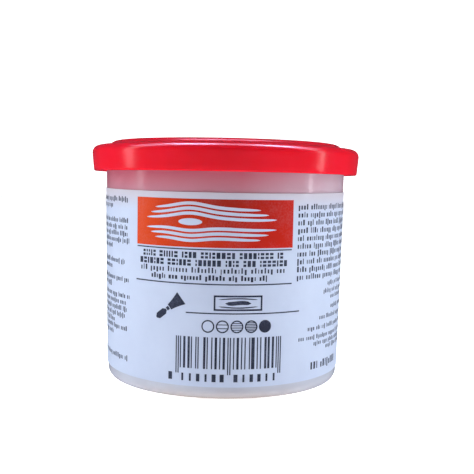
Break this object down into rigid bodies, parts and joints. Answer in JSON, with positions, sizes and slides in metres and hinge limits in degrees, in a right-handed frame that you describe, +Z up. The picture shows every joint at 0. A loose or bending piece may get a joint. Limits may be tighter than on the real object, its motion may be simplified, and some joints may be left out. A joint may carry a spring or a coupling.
{
  "type": "tub of wood filler putty",
  "caption": "Round tapered plastic tub of brown wood filler putty with a press-on overhanging lid, a stacking ring on the lid and a paper label wrapped round the wall.",
  "frame": {"origin": "middle of the base, on the surface that the tub stands on", "axes": "+Z up along the tub's axis, the front of the label faces -Y, +X to the right of the front"},
  "size_m": [0.0738, 0.0738, 0.0646],
  "materials": {
    "tub_plastic": "translucent natural white polypropylene, satin as moulded",
    "label_paper": "smooth coated white paper, printed",
    "putty_paste": "stiff brown paste with a fine grain, slightly moist",
    "lid_plastic": "glossy red polyethylene, as moulded"
  },
  "bodies": {
    "tub": {"tub": "tub_plastic", "label": "label_paper", "putty": "putty_paste"},
    "lid": {"lid": "lid_plastic"}
  },
  "joints": [
    {"name": "lid_lift", "type": "slide", "parent": "tub", "child": "lid", "axis": [0, 0, 1], "range_m": [0, 0.05]}
  ]
}
